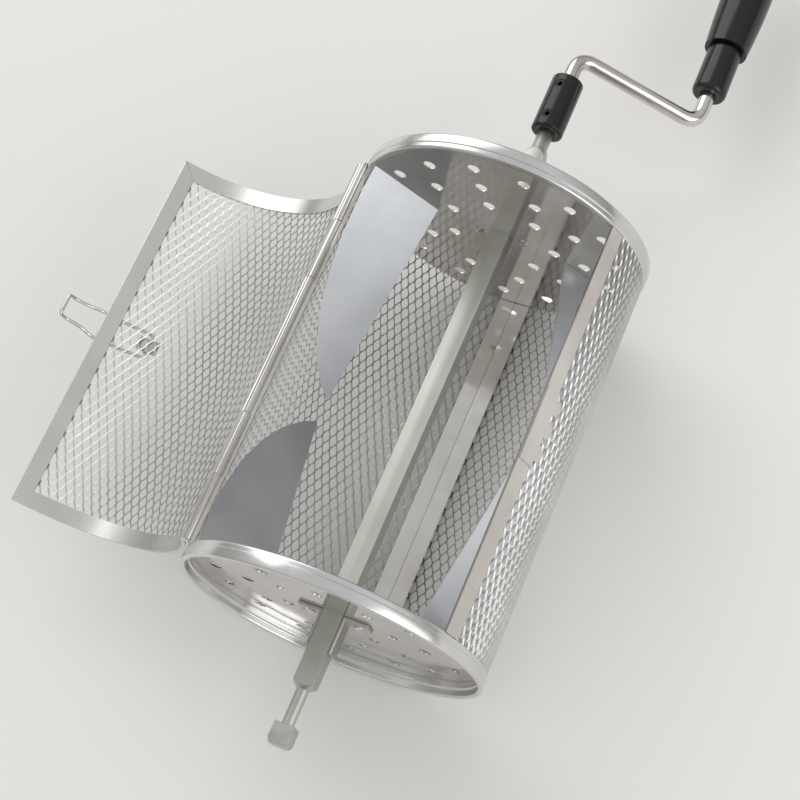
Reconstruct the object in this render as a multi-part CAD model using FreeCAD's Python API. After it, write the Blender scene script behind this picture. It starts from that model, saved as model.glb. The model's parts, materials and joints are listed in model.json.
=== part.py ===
import FreeCAD, Part
import math
import os

# A hand cranked roasting cage: a wire mesh drum with a swinging door on a square spit.
# All sizes are in millimetres and all angles in degrees.
# The origin is the middle of the spit's turned front neck. +Y runs along the spit to the crank.
# An angle round the spit is 0 at +Z, the middle of the filling mouth, and 90 at +X.

# Drum
drum_length = 180.0
wall_radius = 60.0
mesh_thickness = 0.6
strip_stock = 0.4
strip_width = 7.0
strip_fold = 1.0
hinge_angle = -62.5
door_arc = 115.5
mouth_gap = 2.1
seam_angle = 180.0

# Wire mesh
diamond_length = 37.0
diamond_width = 18.5
strand_width = 2.4

# End caps and the hoops that they are rolled over
cap_stock = 0.5
cap_recess = 6.0
skirt_width = 4.0
hoop_show = 2.5
rim_sides = 60
hole_sides = 8
cap_hole_diameter = 5.0
cap_hole_radii = (22.5, 35.5, 48.5)
cap_hole_counts = (7, 10, 15)
cap_hole_clock = -7.0

# Spit
spit_square = 8.0
neck_diameter = 4.8
neck_length = 14.0
button_length = 8.0
front_overhang = 24.0
rear_overhang = 36.0
shank_diameter = 6.5
shank_taper = 5.0
spit_fit = 0.05

# Brackets that hold the drum on the spit
bracket_stock = 1.2
bracket_length = 15.0
bracket_leg = 9.0
bracket_foot = 9.0
rivet_diameter = 3.0
rivet_head_diameter = 5.0
rivet_head_height = 1.2
clamp_screw_diameter = 3.0
clamp_screw_head = 5.6
clamp_screw_head_height = 2.2
clamp_screw_inset = 4.5
fastener_sides = 8

# Paddles that stir the beans
paddle_stock = 0.8
paddle_start_angle = -60.0
paddle_inner_radius = 27.5
paddle_inner_angle = -76.0
paddle_tip_angle = -122.0
paddle_length = 79.0
paddle_wall_gap = 0.4
paddle_edge_sides = 36

# Door
door_end_gap = 0.8
door_open_angle = 200.0

# Hinge
pin_diameter = 1.6
knuckle_wall = 0.75
running_gap = 0.05
knuckle_end_gap = 0.3
knuckle_relief = 1.3
drum_knuckle_length = 26.0
drum_knuckle_centre = 43.0
pin_head_diameter = 2.6
pin_head_height = 0.6
barrel_sides = 12

# Latch wire and the catch that it snaps over
wire_diameter = 1.6
wire_clear = 1.0
wire_tip_drop = 0.5
wire_tip_reach = 17.0
wire_root_reach = 21.5
wire_root_width = 10.8
wire_mid_width = 12.0
wire_tip_width = 9.4
wire_corner = 1.8
wire_sides = 8
wire_jog_start = 1.5
wire_jog_end = 6.0
anchor_wall = 0.5
anchor_stock = 0.4
anchor_length = 6.0
anchor_foot = 9.0
catch_stock = 0.6
catch_length = 30.0
catch_reach = 7.3
catch_lobe = 3.6
catch_notch = 3.4
lobe_blunt = 1.6

# Coupling sleeve, crank and grip
moulding_sides = 32
sleeve_gap = 8.0
sleeve_length = 26.0
sleeve_diameter = 13.5
sleeve_bevel = 0.8
set_screw_diameter = 4.0
set_screw_inset = 5.5
set_screw_sink = 0.3
set_screw_socket = 2.0
set_screw_socket_depth = 1.6
set_screw_angle = -10.0
rod_diameter = 6.5
rod_insert_gap = 1.0
crank_rise = 13.0
crank_throw = 58.0
crank_angle = 119.0
crank_bend = 7.5
bend_step = 30.0
grip_standoff = 15.0
collar_length = 23.5
collar_diameter = 14.8
collar_mouth = 13.4
grip_length = 74.0
grip_neck_diameter = 18.6
grip_swell_diameter = 21.5
grip_end_diameter = 17.0
grip_end_round = 2.5
grip_tapers = 5
grip_socket_diameter = 11.0
grip_socket_depth = 8.0
retainer_diameter = 10.0
retainer_stock = 1.5
retainer_clear = 0.5
plug_stock = 2.5

# Places that follow from the sizes above
strip_thickness = mesh_thickness + 2.0 * strip_stock
strip_inner_radius = wall_radius - strip_thickness
mesh_outer_radius = wall_radius - strip_stock
mesh_inner_radius = mesh_outer_radius - mesh_thickness
groove_depth = strip_width - strip_fold
front_rim = neck_length / 2.0 + front_overhang
rear_rim = front_rim + drum_length
middle = (front_rim + rear_rim) / 2.0
hoop_end = skirt_width + hoop_show
wall_front = front_rim + hoop_end
wall_rear = rear_rim - hoop_end
wall_length = wall_rear - wall_front
cap_bore = strip_inner_radius - cap_stock
skirt_radius = wall_radius + cap_stock
knuckle_radius = pin_diameter / 2.0 + running_gap + knuckle_wall
pin_radius = wall_radius + knuckle_radius
latch_edge_angle = hinge_angle + door_arc
wire_radius = wire_diameter / 2.0
wire_seat = wall_radius + wire_clear + wire_radius
spit_end = rear_rim + rear_overhang
sleeve_start = spit_end + sleeve_gap
sleeve_end = sleeve_start + sleeve_length
arm_place = sleeve_end + crank_rise
grip_start = arm_place + grip_standoff
handle_start = grip_start + collar_length
handle_end = handle_start + grip_length
sleeve_middle = (sleeve_start + sleeve_end) / 2.0
set_screw_places = (sleeve_start + set_screw_inset, sleeve_end - set_screw_inset)
retainer_start = handle_end - grip_socket_depth + retainer_clear
rod_end = retainer_start + retainer_stock
front_face = front_rim + cap_recess
rear_face = rear_rim - cap_recess
bracket_inner = spit_square / 2.0 + spit_fit
bracket_outer = bracket_inner + bracket_stock
bracket_middle = bracket_leg / 2.0 - bracket_outer
rivet_offset = bracket_outer + bracket_foot / 2.0
clamp_screw_reach = bracket_length - clamp_screw_inset
door_front = wall_front + door_end_gap
door_rear = wall_rear - door_end_gap
anchor_barrel_radius = wire_radius + running_gap + anchor_wall
lobe_radius = (wire_tip_width - catch_notch) / 2.0
fold_angle = math.degrees(strip_fold / wall_radius)
strip_angle = math.degrees(strip_width / wall_radius)
relief_angle = math.degrees(knuckle_relief / wall_radius)
hinge_rail_edge = hinge_angle - relief_angle
door_hinge_edge = hinge_angle + relief_angle
latch_rail_edge = latch_edge_angle + math.degrees(mouth_gap / wall_radius)
AXIS = FreeCAD.Vector(0, 1, 0)
ORIGIN = FreeCAD.Vector(0, 0, 0)


def arc_angle(length, radius=wall_radius):
    """Angle that a length takes up round the drum."""
    return math.degrees(length / radius)


def place(radius, angle, y):
    """Point at a radius and an angle round the spit."""
    turn = math.radians(angle)
    return FreeCAD.Vector(radius * math.sin(turn), y, radius * math.cos(turn))


def turned(shape, angle, centre=ORIGIN):
    """Copy of a shape turned round a line along the spit's direction."""
    copy = shape.copy()
    copy.rotate(centre, AXIS, angle)
    return copy


def prism(points, run):
    """Solid between a flat outline and its copy a run away."""
    outline = Part.makePolygon(list(points) + [points[0]])
    return Part.Face(outline).extrude(run)


def rod(diameter, start, run):
    """Round bar from a point along a run."""
    return Part.makeCylinder(diameter / 2.0, run.Length, start, run)


def across(run):
    """Two directions square to a run and to each other."""
    first = run.cross(FreeCAD.Vector(0, 0, 1))
    if first.Length < run.Length / 2.0:
        first = run.cross(FreeCAD.Vector(1, 0, 0))
    second = run.cross(first)
    return first.normalize(), second.normalize()


def ring(sides, diameter, centre, run):
    """Corners of a regular outline square to a run, standing on a circle."""
    first, second = across(run)
    corners = []
    for number in range(sides):
        turn = math.radians((number + 0.5) * 360.0 / sides)
        corners.append(centre + first * (diameter / 2.0 * math.cos(turn))
                       + second * (diameter / 2.0 * math.sin(turn)))
    return corners


def flat_sided_rod(sides, diameter, start, run):
    """Bar with flat sides inside a circle, for small pieces that repeat."""
    return prism(ring(sides, diameter, start, run), run)


def flat_sided_bore(sides, diameter, start, run):
    """Cutter with flat sides outside a circle."""
    return prism(ring(sides, diameter / math.cos(math.pi / sides), start, run), run)


def tapered(sides, stations):
    """Solid on the spit's line through flat-sided outlines of given diameters and places."""
    rings = [ring(sides, diameter, AXIS * y, AXIS) for diameter, y in stations]
    faces = [Part.Face(Part.makePolygon(end + [end[0]])) for end in (rings[0], rings[-1])]
    for near, far in zip(rings, rings[1:]):
        for number in range(sides):
            corners = [near[number - 1], near[number], far[number], far[number - 1]]
            faces.append(Part.Face(Part.makePolygon(corners + [corners[0]])))
    return Part.makeSolid(Part.makeShell(faces))


def lathe(profile):
    """Solid turned round the spit's line from an outline of radii and places."""
    points = [FreeCAD.Vector(radius, y, 0) for radius, y in profile]
    outline = Part.makePolygon(points + [points[0]])
    return Part.Face(outline).revolve(ORIGIN, AXIS, 360)


def wall_point(radius, angle, creases, y):
    """Point of the wall, which is flat between its creases."""
    for first, last in zip(creases, creases[1:]):
        if first <= angle <= last:
            flat = radius * math.cos(math.radians((last - first) / 2.0))
            return place(flat / math.cos(math.radians(angle - (first + last) / 2.0)), angle, y)


def wall_bar(inner, outer, start, stop, creases, front, rear):
    """Length of the wall between two angles, with its folds at the creases."""
    between = [angle for angle in creases if start < angle < stop]
    angles = [start] + between + [stop]
    outline = [wall_point(outer, angle, creases, front) for angle in angles]
    outline += [wall_point(inner, angle, creases, front) for angle in reversed(angles)]
    return prism(outline, AXIS * (rear - front))


def bent_points(points, bend):
    """The points with each corner taken round in short straight steps."""
    path = [points[0]]
    for last, corner, following in zip(points, points[1:], points[2:]):
        onward = (corner - last).normalize()
        ahead = (following - corner).normalize()
        turn = onward.getAngle(ahead)
        steps = round(math.degrees(turn) / bend_step)
        if steps == 0:
            path.append(corner)
            continue
        entry = corner - onward * (bend * math.tan(turn / 2.0))
        inward = (ahead - onward).normalize()
        centre = corner + inward * (bend / math.cos(turn / 2.0))
        spoke = entry - centre
        for step in range(steps + 1):
            part = turn * step / steps
            path.append(centre + spoke * math.cos(part) + onward * (bend * math.sin(part)))
    path.append(points[-1])
    return path


def bent_rod(points, bend, diameter, sides=0):
    """Rod along a bent path, round or with flat sides."""
    path = bent_points(points, bend)
    start = path[0]
    if sides:
        corners = ring(sides, diameter, start, path[1] - start)
        section = Part.makePolygon(corners + [corners[0]])
    else:
        section = Part.Wire(Part.makeCircle(diameter / 2.0, start, path[1] - start))
    return Part.makePolygon(path).makePipeShell([section], True, False, 1)


# Wall of the drum and the door: mesh held in folded edge strips

def wall_creases(start, stop):
    """Angles where a wall is creased: at both strips' edges and along each row of diamonds."""
    first = start + strip_angle
    last = stop - strip_angle
    columns = 2 * round((last - first) / arc_angle(diamond_width))
    inner = [first + (last - first) * number / columns for number in range(columns + 1)]
    return [start] + inner + [stop]


hinge_side_wall = wall_creases(seam_angle - 360.0, hinge_rail_edge)
latch_side_wall = wall_creases(latch_rail_edge, seam_angle)
door_wall = wall_creases(door_hinge_edge, latch_edge_angle)


def edge_strip(wall, at_start, front, rear):
    """Folded strip along one edge of a wall: its groove takes the edge of the mesh."""
    if at_start:
        start, lip, stop = wall[0], wall[0] + fold_angle, wall[1]
        groove = wall_bar(mesh_inner_radius, mesh_outer_radius, lip, stop, wall, front, rear)
    else:
        start, lip, stop = wall[-2], wall[-1] - fold_angle, wall[-1]
        groove = wall_bar(mesh_inner_radius, mesh_outer_radius, start, lip, wall, front, rear)
    return wall_bar(strip_inner_radius, wall_radius, start, stop, wall, front, rear).cut(groove)


def diamond(angle, y, half_width, half_length, sides):
    """Cutter for one mesh opening, halved where one of its four sides meets a strip."""
    left, right, low, high = sides
    corners = []
    if left:
        corners.append((-half_width, 0.0))
    if high:
        corners.append((0.0, half_length))
    if right:
        corners.append((half_width, 0.0))
    if low:
        corners.append((0.0, -half_length))
    inside = mesh_inner_radius - mesh_thickness
    outline = [FreeCAD.Vector(x, y + along, inside) for x, along in corners]
    return turned(prism(outline, FreeCAD.Vector(0, 0, 3.0 * mesh_thickness)), angle)


def mesh_panel(wall, front, rear, end_tuck):
    """Expanded mesh of one wall, tucked into the strips along its edges."""
    sheet = wall_bar(mesh_inner_radius, mesh_outer_radius, wall[0] + fold_angle,
                     wall[-1] - fold_angle, wall, front - end_tuck, rear + end_tuck)
    columns = wall[1:-1]
    rows = 2 * round((rear - front) / diamond_length)
    rise = (rear - front) / rows
    column_width = math.radians(columns[1] - columns[0]) * mesh_outer_radius
    half_width = column_width - strand_width / 2.0
    half_length = half_width * rise / column_width
    cutters = []
    for column, angle in enumerate(columns):
        for row in range(rows + 1):
            sides = (column > 0, column < len(columns) - 1, row > 0, row < rows)
            if (column + row) % 2 == 0 and sum(sides) > 2:
                cutters.append(diamond(angle, front + row * rise, half_width, half_length, sides))
    return sheet.cut(cutters)


# End caps

def end_cap(rim, inward):
    """Dished and perforated end disc; its rim is rolled over the hoop that the wall stands on."""
    skirt = flat_sided_rod(rim_sides, 2.0 * skirt_radius, AXIS * rim, AXIS * (inward * skirt_width))
    band = flat_sided_rod(rim_sides, 2.0 * wall_radius, AXIS * rim, AXIS * (inward * hoop_end))
    dish = flat_sided_rod(rim_sides, 2.0 * cap_bore, AXIS * rim, AXIS * (inward * cap_recess))
    disc = skirt.fuse(band).cut(dish)
    front, rear = sorted((rim + inward * cap_recess, rim + inward * hoop_end))
    through = AXIS * (rear - front)
    punches = [square_bar(spit_square + 2.0 * spit_fit, front, rear)]
    for radius, count in zip(cap_hole_radii, cap_hole_counts):
        for number in range(count):
            centre = place(radius, cap_hole_clock + number * 360.0 / count, front)
            punches.append(flat_sided_rod(hole_sides, cap_hole_diameter, centre, through))
    for side in (-1, 1):
        centre = FreeCAD.Vector(side * rivet_offset, front, bracket_middle)
        punches.append(flat_sided_rod(fastener_sides, rivet_diameter, centre, through))
    return disc.cut(punches).removeSplitter()


# Spit and the brackets on it

def square_bar(side, front, rear):
    """Square bar on the spit's line."""
    corner = FreeCAD.Vector(-side / 2.0, front, -side / 2.0)
    return Part.makeBox(side, rear - front, side, corner)


def spit():
    """Square bar with a turned neck and a button in front, and a turned shank behind."""
    half = spit_square / 2.0
    button_front = -neck_length / 2.0 - button_length
    shank_end = sleeve_middle - rod_insert_gap / 2.0
    envelope = lathe([
        (0.0, button_front),
        (half, button_front),
        (spit_square, button_front + half),
        (spit_square, -neck_length / 2.0),
        (neck_diameter / 2.0, -neck_length / 2.0),
        (neck_diameter / 2.0, neck_length / 2.0),
        (spit_square, neck_length / 2.0 + half),
        (spit_square, spit_end - shank_taper - half),
        (shank_diameter / 2.0, spit_end),
        (shank_diameter / 2.0, shank_end),
        (0.0, shank_end),
    ])
    return square_bar(spit_square, button_front, shank_end).common(envelope)


def bracket(face, outward):
    """Folded channel round three sides of the spit, with a foot on each side for the cap."""
    inner = bracket_inner
    outer = bracket_outer
    front, rear = sorted((face, face + outward * bracket_length))
    corner = FreeCAD.Vector(-outer, front, -outer)
    block = Part.makeBox(2.0 * outer, rear - front, bracket_leg, corner)
    corner = FreeCAD.Vector(-inner, front, -inner)
    channel = block.cut(Part.makeBox(2.0 * inner, rear - front, bracket_leg, corner))
    front, rear = sorted((face, face + outward * bracket_stock))
    for side in (-outer - bracket_foot, outer):
        corner = FreeCAD.Vector(side, front, -outer)
        channel = channel.fuse(Part.makeBox(bracket_foot, rear - front, bracket_leg, corner))
    for side in (-1, 1):
        centre = FreeCAD.Vector(side * rivet_offset, front, bracket_middle)
        channel = channel.cut(flat_sided_rod(fastener_sides, rivet_diameter, centre,
                                             AXIS * (rear - front)))
    return channel.cut(clamp_screw_shank(face, outward)).removeSplitter()


def bracket_rivet(side, face, outward):
    """Rivet through a bracket's foot and the cap, with a head on both sides."""
    centre = FreeCAD.Vector(side * rivet_offset, face, bracket_middle)
    out = AXIS * outward
    inside = centre - out * cap_stock
    outside = centre + out * bracket_stock
    shank = flat_sided_rod(fastener_sides, rivet_diameter, inside, outside - inside)
    heads = [flat_sided_rod(fastener_sides, rivet_head_diameter, outside, out * rivet_head_height),
             flat_sided_rod(fastener_sides, rivet_head_diameter, inside, out * -rivet_head_height)]
    return shank.fuse(heads)


def clamp_screw_start(face, outward):
    """Place where a clamp screw's head sits on the leg of its bracket."""
    return FreeCAD.Vector(-bracket_outer, face + outward * clamp_screw_reach, 0)


def clamp_screw_shank(face, outward):
    """Shank of a clamp screw, from its head to the face of the spit."""
    run = FreeCAD.Vector(bracket_outer - spit_square / 2.0, 0, 0)
    return flat_sided_rod(fastener_sides, clamp_screw_diameter, clamp_screw_start(face, outward), run)


def clamp_screw(face, outward):
    """Screw through a bracket's leg that bites on the spit."""
    start = clamp_screw_start(face, outward)
    run = FreeCAD.Vector(-clamp_screw_head_height, 0, 0)
    head = flat_sided_rod(fastener_sides, clamp_screw_head, start, run)
    return clamp_screw_shank(face, outward).fuse(head)


# Paddles

def paddle(turn, mirrored):
    """Flat plate set askew: its wide end is welded to a cap and its long edge nears the wall."""
    end = wall_front
    outer = place(strip_inner_radius, paddle_start_angle, end)
    inner = place(paddle_inner_radius, paddle_inner_angle, end)
    tip = place(strip_inner_radius, paddle_tip_angle, end + paddle_length)
    wide = (outer - inner) * 1.5
    edge = tip - inner
    normal = wide.cross(edge).normalize()
    start = inner - edge * 0.1 - normal * (paddle_stock / 2.0)
    stop = start + edge * 1.3
    plate = prism([start, start + wide, stop + wide, stop], normal * paddle_stock)
    room = flat_sided_rod(paddle_edge_sides, 2.0 * (strip_inner_radius - paddle_wall_gap),
                          AXIS * end, AXIS * wall_length)
    plate = turned(plate.common(room), turn)
    if mirrored:
        plate = plate.mirror(ORIGIN + AXIS * middle, AXIS)
    return plate


# Hinge

def barrel(diameter, bore, front, rear, centre):
    """Rolled barrel along the drum, with flat sides outside its bore."""
    run = AXIS * (rear - front)
    start = FreeCAD.Vector(centre.x, front, centre.z)
    outside = flat_sided_rod(barrel_sides, diameter, start, run)
    return outside, flat_sided_bore(barrel_sides, bore, start, run)


def knuckle(side, front, rear, gap):
    """Barrel on the hinge line, with the tab that joins it to its strip."""
    centre = place(pin_radius, hinge_angle, front)
    outside, bore = barrel(2.0 * knuckle_radius, pin_diameter + 2.0 * gap, front, rear, centre)
    start, stop = sorted((hinge_angle, hinge_angle + side * relief_angle))
    tab = wall_bar(mesh_outer_radius, wall_radius + knuckle_radius / 3.0, start, stop,
                   [start, stop], front, rear)
    return outside.fuse(tab).cut(bore)


def drum_knuckles():
    """Start and stop of the drum's two barrels."""
    half = drum_knuckle_length / 2.0
    near = middle - drum_knuckle_centre
    far = middle + drum_knuckle_centre
    return ((near - half, near + half), (far - half, far + half))


def door_knuckles():
    """Start and stop of the door's three barrels, which fill the places between the drum's."""
    first, second = drum_knuckles()
    return ((door_front, first[0] - knuckle_end_gap),
            (first[1] + knuckle_end_gap, second[0] - knuckle_end_gap),
            (second[1] + knuckle_end_gap, door_rear))


def hinge_rail():
    """Edge strip of the drum beside the hinge, with its two barrels pressed on the pin."""
    strip = edge_strip(hinge_side_wall, False, wall_front, wall_rear)
    barrels = [knuckle(-1, start, stop, 0.0) for start, stop in drum_knuckles()]
    return strip.fuse(barrels).removeSplitter()


def door_hinge_strip():
    """Edge strip of the door beside the hinge, with its three barrels free on the pin."""
    strip = mitred(edge_strip(door_wall, True, door_front, door_rear))
    barrels = [knuckle(1, start, stop, running_gap) for start, stop in door_knuckles()]
    return strip.fuse(barrels).removeSplitter()


def hinge_pin():
    """Wire pin through all the barrels, with both ends peened."""
    front = door_front - knuckle_end_gap
    rear = door_rear + knuckle_end_gap
    pin = rod(pin_diameter, place(pin_radius, hinge_angle, front), AXIS * (rear - front))
    heads = [flat_sided_rod(fastener_sides, pin_head_diameter, place(pin_radius, hinge_angle, front),
                            AXIS * -pin_head_height),
             flat_sided_rod(fastener_sides, pin_head_diameter, place(pin_radius, hinge_angle, rear),
                            AXIS * pin_head_height)]
    return pin.fuse(heads)


# Door

def opened(shape):
    """Copy of a closed door piece as it lies with the door swung open."""
    return turned(shape, -door_open_angle, place(pin_radius, hinge_angle, 0.0))


def mitre(edge, inward, end, into, way):
    """Cutter beside the diagonal of a corner of the door's frame."""
    half = strip_width / 2.0
    corner = FreeCAD.Vector(-inward * half, end, strip_inner_radius - strip_stock)
    slope = FreeCAD.Vector(inward, into, 0) * (2.0 * strip_width)
    out = FreeCAD.Vector(inward, -into, 0) * (way * strip_width)
    start = corner - slope
    stop = corner + slope
    height = FreeCAD.Vector(0, 0, strip_thickness + 2.0 * strip_stock)
    cutter = prism([start, stop, stop + out, start + out], height)
    return turned(cutter, edge + inward * strip_angle / 2.0)


def mitred(strip, way=1):
    """Strip of the door's frame with its ends cut along the diagonals of the corners."""
    cutters = []
    for edge, inward in ((door_hinge_edge, 1), (latch_edge_angle, -1)):
        for end, into in ((door_front, 1), (door_rear, -1)):
            cutters.append(mitre(edge, inward, end, into, way))
    return strip.cut(cutters)


def door_latch_strip():
    """Edge strip of the door beside the latch."""
    return mitred(edge_strip(door_wall, False, door_front, door_rear))


def door_end_strip(end, into):
    """Curved strip across one end of the door."""
    front, rear = sorted((end, end + into * strip_width))
    bar = wall_bar(strip_inner_radius, wall_radius, door_wall[0], door_wall[-1], door_wall, front, rear)
    front, rear = sorted((end + into * strip_fold, end + into * strip_width))
    groove = wall_bar(mesh_inner_radius, mesh_outer_radius, door_wall[0], door_wall[-1], door_wall,
                      front, rear)
    return mitred(bar.cut(groove), -1)


# Latch

anchor_angle = latch_edge_angle - arc_angle(wire_root_reach)
anchor_seat = wall_point(mesh_outer_radius, anchor_angle, door_wall, 0.0).Length
wire_root_radius = anchor_seat + anchor_stock / 2.0 + anchor_barrel_radius


def wire_point(reach, half_width, radius):
    """Point of the latch wire, at a reach beyond the door's edge."""
    return place(radius, latch_edge_angle + arc_angle(reach), middle + half_width)


def latch_wire():
    """Closed wire loop: the root turns in the anchor and the tip passes the catch."""
    seat = wire_seat
    tip = seat - wire_tip_drop
    root_half = wire_root_width / 2.0
    mid_half = wire_mid_width / 2.0
    tip_half = wire_tip_width / 2.0
    halfway = (wire_jog_start - wire_root_reach) / 2.0
    points = [
        wire_point(-wire_root_reach, 0.0, wire_root_radius),
        wire_point(-wire_root_reach, root_half, wire_root_radius),
        wire_point(halfway, (root_half + mid_half) / 2.0, seat),
        wire_point(wire_jog_start, mid_half, seat),
        wire_point(wire_jog_end, tip_half, seat),
        wire_point((wire_jog_end + wire_tip_reach) / 2.0, tip_half, seat),
        wire_point(wire_tip_reach, tip_half, tip),
        wire_point(wire_tip_reach, 0.0, tip),
    ]
    half = bent_rod(points, wire_corner, wire_diameter, wire_sides)
    return half.fuse(half.mirror(ORIGIN + AXIS * middle, AXIS)).removeSplitter()


def latch_anchor():
    """Folded clip on the mesh: the root of the wire turns in its barrel."""
    front = middle - anchor_length / 2.0
    rear = middle + anchor_length / 2.0
    spread = arc_angle(anchor_foot / 2.0)
    foot = wall_bar(mesh_outer_radius, mesh_outer_radius + anchor_stock, anchor_angle - spread,
                    anchor_angle + spread, door_wall, front, rear)
    start = place(wire_root_radius, anchor_angle, front)
    run = AXIS * (rear - front)
    outside = flat_sided_rod(barrel_sides, 2.0 * anchor_barrel_radius, start, run)
    return foot.fuse(outside).cut(rod(wire_diameter + 2.0 * running_gap, start, run))


def catch_plate():
    """Stamped plate on the latch rail, with a blunt lobe on each side of each wire leg."""
    front = middle - catch_length / 2.0
    rear = middle + catch_length / 2.0
    base_edge = latch_rail_edge + arc_angle(catch_reach)
    lobe_edge = base_edge + arc_angle(catch_lobe)
    creases = [latch_rail_edge, latch_rail_edge + strip_angle, lobe_edge]
    outer = wall_radius + catch_stock
    plate = wall_bar(wall_radius, outer, latch_rail_edge, base_edge, creases, front, rear)
    lobe = wall_bar(wall_radius, outer, base_edge, lobe_edge, creases, -lobe_radius, lobe_radius)
    corner = place(wall_radius, lobe_edge, 0.0)
    along = (corner - place(wall_radius, base_edge, 0.0)).normalize()
    outward = FreeCAD.Vector(corner.x, 0, corner.z).normalize()
    trims = []
    for side in (-1, 1):
        tip = corner + AXIS * (side * lobe_radius) - outward * strip_thickness
        trim = [tip + along, tip + along - AXIS * (side * lobe_radius), tip - along * lobe_blunt,
                tip - along * lobe_blunt + AXIS * side]
        trims.append(prism(trim, outward * (2.0 * strip_thickness)))
    lobe = lobe.cut(trims)
    for number in (-1, 0, 1):
        plate = plate.fuse(lobe.translated(AXIS * (middle + number * wire_tip_width)))
    return plate.removeSplitter()


# Coupling sleeve, crank and grip

def coupling_sleeve():
    """Moulded sleeve that joins the spit's shank to the crank, with two tapped holes."""
    end_diameter = sleeve_diameter - 2.0 * sleeve_bevel
    sleeve = tapered(moulding_sides, [
        (end_diameter, sleeve_start),
        (sleeve_diameter, sleeve_start + sleeve_bevel),
        (sleeve_diameter, sleeve_end - sleeve_bevel),
        (end_diameter, sleeve_end),
    ])
    sleeve = sleeve.cut(rod(rod_diameter, AXIS * sleeve_start, AXIS * sleeve_length))
    for y in set_screw_places:
        sleeve = sleeve.cut(flat_sided_rod(fastener_sides, set_screw_diameter,
                                           place(0.0, set_screw_angle, y),
                                           place(sleeve_diameter, set_screw_angle, 0.0)))
    return sleeve


def set_screw(y):
    """Grub screw with a hexagon socket, down on the rod in the sleeve."""
    bottom = place(rod_diameter / 2.0, set_screw_angle, y)
    top = place(sleeve_diameter / 2.0 - set_screw_sink, set_screw_angle, y)
    inward = (bottom - top).normalize()
    screw = flat_sided_rod(fastener_sides, set_screw_diameter, bottom, top - bottom)
    socket = flat_sided_bore(6, set_screw_socket, top, inward * set_screw_socket_depth)
    return screw.cut(socket)


def crank_rod():
    """Round rod with two bends: out of the sleeve, along the arm and back along the grip."""
    points = [
        AXIS * (sleeve_middle + rod_insert_gap / 2.0),
        AXIS * arm_place,
        place(crank_throw, crank_angle, arm_place),
        place(crank_throw, crank_angle, rod_end),
    ]
    return bent_rod(points, crank_bend, rod_diameter)


def on_grip(shape):
    """Copy of a shape turned round the spit's line, moved to the grip's line."""
    copy = shape.copy()
    copy.translate(place(crank_throw, crank_angle, 0.0))
    return copy


def grip_bore(start, stop):
    """Cutter for the running bore of the grip and its collar."""
    return rod(rod_diameter + 2.0 * running_gap, AXIS * start, AXIS * (stop - start))


def grip_collar():
    """Moulded collar at the mouth of the grip."""
    collar = tapered(moulding_sides, [
        (collar_mouth, grip_start),
        (collar_diameter, grip_start + collar_diameter - collar_mouth),
        (collar_diameter, handle_start),
    ])
    return on_grip(collar.cut(grip_bore(grip_start, handle_start)))


def grip_handle():
    """Moulded grip that swells in the palm and is hollow at the end for the retainer."""
    round_start = handle_end - grip_end_round
    stations = []
    for number in range(grip_tapers + 1):
        part = number / grip_tapers
        diameter = (grip_neck_diameter * 2.0 * (part - 0.5) * (part - 1.0)
                    + grip_swell_diameter * 4.0 * part * (1.0 - part)
                    + grip_end_diameter * 2.0 * part * (part - 0.5))
        stations.append((diameter, handle_start + (round_start - handle_start) * part))
    stations.append((grip_end_diameter - 2.0 * grip_end_round, handle_end))
    grip = tapered(moulding_sides, stations).cut(grip_bore(handle_start, handle_end))
    return on_grip(grip.cut(grip_socket(handle_end - grip_socket_depth)))


def grip_socket(floor):
    """Room at the end of the grip, from a floor to the grip's end."""
    return flat_sided_rod(moulding_sides, grip_socket_diameter, AXIS * floor,
                          AXIS * (handle_end - floor))


def grip_plug():
    """Disc that closes the socket at the end of the grip."""
    return on_grip(grip_socket(handle_end - plug_stock))


def grip_retainer():
    """Spring washer pressed on the end of the rod, which keeps the grip on it."""
    run = AXIS * retainer_stock
    washer = flat_sided_rod(fastener_sides, retainer_diameter, AXIS * retainer_start, run)
    return on_grip(washer.cut(rod(rod_diameter, AXIS * retainer_start, run)))


# The assembly, with the door swung open

def bracket_rivets():
    """The four rivets of the two brackets."""
    rivets = []
    for side in (-1, 1):
        rivets.append(bracket_rivet(side, front_face, -1))
        rivets.append(bracket_rivet(side, rear_face, 1))
    return Part.makeCompound(rivets)


drum_nodes = {
    "spit": spit(),
    "front_cap": end_cap(front_rim, 1),
    "rear_cap": end_cap(rear_rim, -1),
    "hinge_side_mesh": mesh_panel(hinge_side_wall, wall_front, wall_rear, 0.0),
    "latch_side_mesh": mesh_panel(latch_side_wall, wall_front, wall_rear, 0.0),
    "hinge_rail": hinge_rail(),
    "latch_rail": edge_strip(latch_side_wall, True, wall_front, wall_rear),
    "seam_strip_hinge_side": edge_strip(hinge_side_wall, True, wall_front, wall_rear),
    "seam_strip_latch_side": edge_strip(latch_side_wall, False, wall_front, wall_rear),
    "hinge_pin": hinge_pin(),
    "catch_plate": catch_plate(),
    "front_bracket": bracket(front_face, -1),
    "rear_bracket": bracket(rear_face, 1),
    "bracket_rivets": bracket_rivets(),
    "front_clamp_screw": clamp_screw(front_face, -1),
    "rear_clamp_screw": clamp_screw(rear_face, 1),
    "coupling_sleeve": coupling_sleeve(),
    "crank_rod": crank_rod(),
    "grip_retainer": grip_retainer(),
    "grip_collar": grip_collar(),
    "grip_handle": grip_handle(),
    "grip_end_plug": grip_plug(),
}
for number, y in enumerate(set_screw_places, 1):
    drum_nodes["set_screw_%d" % number] = set_screw(y)
for side, turn in (("hinge_side", 0.0), ("latch_side", 180.0)):
    drum_nodes["front_paddle_" + side] = paddle(turn, False)
    drum_nodes["rear_paddle_" + side] = paddle(turn, True)

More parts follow.
